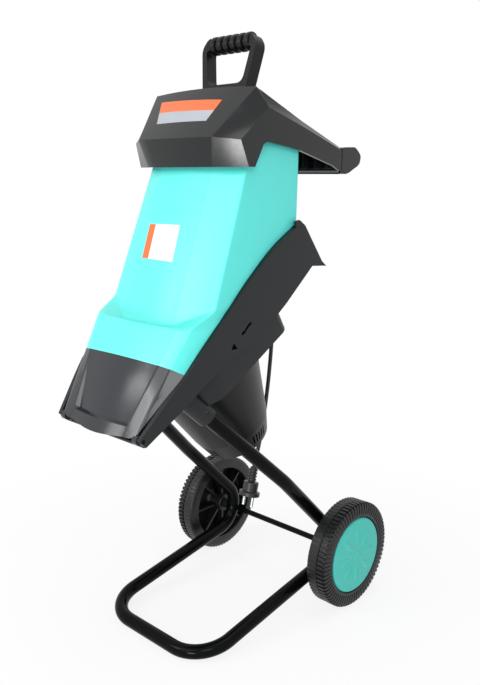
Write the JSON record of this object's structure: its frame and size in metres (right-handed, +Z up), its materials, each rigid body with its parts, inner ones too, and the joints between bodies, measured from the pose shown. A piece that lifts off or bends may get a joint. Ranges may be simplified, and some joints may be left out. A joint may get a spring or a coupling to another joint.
{
  "type": "garden shredder",
  "caption": "Wheeled electric garden shredder: turquoise swing-up hopper with black feed hood and D-handle pusher over a tilted knife-disc deck on a bent tube frame.",
  "frame": {"origin": "on the floor, under the middle of the footprint", "axes": "+Z up, -Y towards the discharge nose, +X to the right seen from the nose side's left hand"},
  "size_m": [0.351, 0.4906, 0.9205],
  "materials": {
    "black_moulding": "fine-grained black moulding",
    "black_gloss_moulding": "polished dark moulding",
    "turquoise_moulding": "smooth turquoise moulding",
    "black_enamel": "glossy black powder coat on steel tube",
    "wheel_plastic": "moulded black tread",
    "zinc_steel": "zinc-plated steel",
    "tool_steel": "ground hardened steel",
    "dark_steel": "black-oxide steel",
    "lamination_steel": "stacked lamination steel",
    "copper": "enamelled copper",
    "brass": "pressed brass",
    "carbon": "pressed carbon",
    "cord_rubber": "flexible black sheath",
    "green_plastic": "green push button",
    "red_plastic": "red push button"
  },
  "bodies": {
    "chassis": {"frame_tube": "black_enamel", "axle": "black_enamel", "wheel_spacers": "black_moulding", "axle_retainers": "zinc_steel", "base_housing": "black_moulding", "leg_screws": "dark_steel", "hinge_pins": "zinc_steel", "deflector_plate": "zinc_steel", "motor_housing": "black_moulding", "motor_end_cap": "black_moulding", "housing_screws": "zinc_steel", "motor_stator": "lamination_steel", "field_coils": "copper", "brush_holders": "brass", "carbon_brushes": "carbon", "upper_bearing": "zinc_steel", "lower_bearing": "zinc_steel", "interlock_switch": "black_moulding", "switch_plate": "black_moulding", "cord_strain_relief": "cord_rubber", "power_cord": "cord_rubber", "power_plug": "cord_rubber", "plug_pins": "zinc_steel"},
    "wheel_right": {"right_wheel": "wheel_plastic", "right_hub_cap": "turquoise_moulding"},
    "wheel_left": {"left_wheel": "wheel_plastic", "left_hub_cap": "turquoise_moulding"},
    "cutter": {"motor_shaft": "tool_steel", "armature": "lamination_steel", "commutator": "copper", "cooling_fan": "black_moulding", "cutter_disc": "zinc_steel", "knives": "tool_steel", "knife_screws": "dark_steel", "disc_washer": "zinc_steel", "disc_bolt": "dark_steel"},
    "hopper_unit": {"hopper": "turquoise_moulding", "discharge_nose": "black_gloss_moulding", "hood": "black_moulding"},
    "pusher": {"pusher": "black_moulding"},
    "knob": {"locking_knob": "black_moulding", "knob_stud": "zinc_steel"},
    "start": {"start_button": "green_plastic"},
    "stop": {"stop_button": "red_plastic"},
    "reset": {"reset_button": "black_gloss_moulding"}
  },
  "joints": [
    {"name": "right_wheel_spin", "type": "hinge", "parent": "chassis", "child": "wheel_right", "pos_m": [0.155, 0.1554, 0.09], "axis": [1, 0, 0], "continuous": true},
    {"name": "left_wheel_spin", "type": "hinge", "parent": "chassis", "child": "wheel_left", "pos_m": [-0.155, 0.1554, 0.09], "axis": [1, 0, 0], "continuous": true},
    {"name": "cutter_spin", "type": "hinge", "parent": "chassis", "child": "cutter", "pos_m": [0, -0.0386, 0.433], "axis": [0, -0.5045, 0.8634], "continuous": true},
    {"name": "hopper_swing", "type": "hinge", "parent": "chassis", "child": "hopper_unit", "pos_m": [0, -0.23059, 0.37108], "axis": [1, 0, 0], "range_deg": [0, 60]},
    {"name": "pusher_slide", "type": "slide", "parent": "hopper_unit", "child": "pusher", "axis": [0, 0.1788, 0.9839], "range_m": [0, 0.25]},
    {"name": "knob_turn", "type": "hinge", "parent": "chassis", "child": "knob", "pos_m": [0, 0.09335, 0.61666], "axis": [0, 0.7973, 0.6036], "continuous": true},
    {"name": "start_press", "type": "slide", "parent": "chassis", "child": "start", "axis": [0, -0.8634, -0.5045], "range_m": [0, 0.003], "stiffness_N_per_m": 800, "springref_m": -0.001},
    {"name": "stop_press", "type": "slide", "parent": "chassis", "child": "stop", "axis": [0, -0.8634, -0.5045], "range_m": [0, 0.003], "stiffness_N_per_m": 800, "springref_m": -0.001},
    {"name": "reset_press", "type": "slide", "parent": "chassis", "child": "reset", "axis": [0, -0.8634, -0.5045], "range_m": [0, 0.003], "stiffness_N_per_m": 800, "springref_m": -0.001}
  ]
}
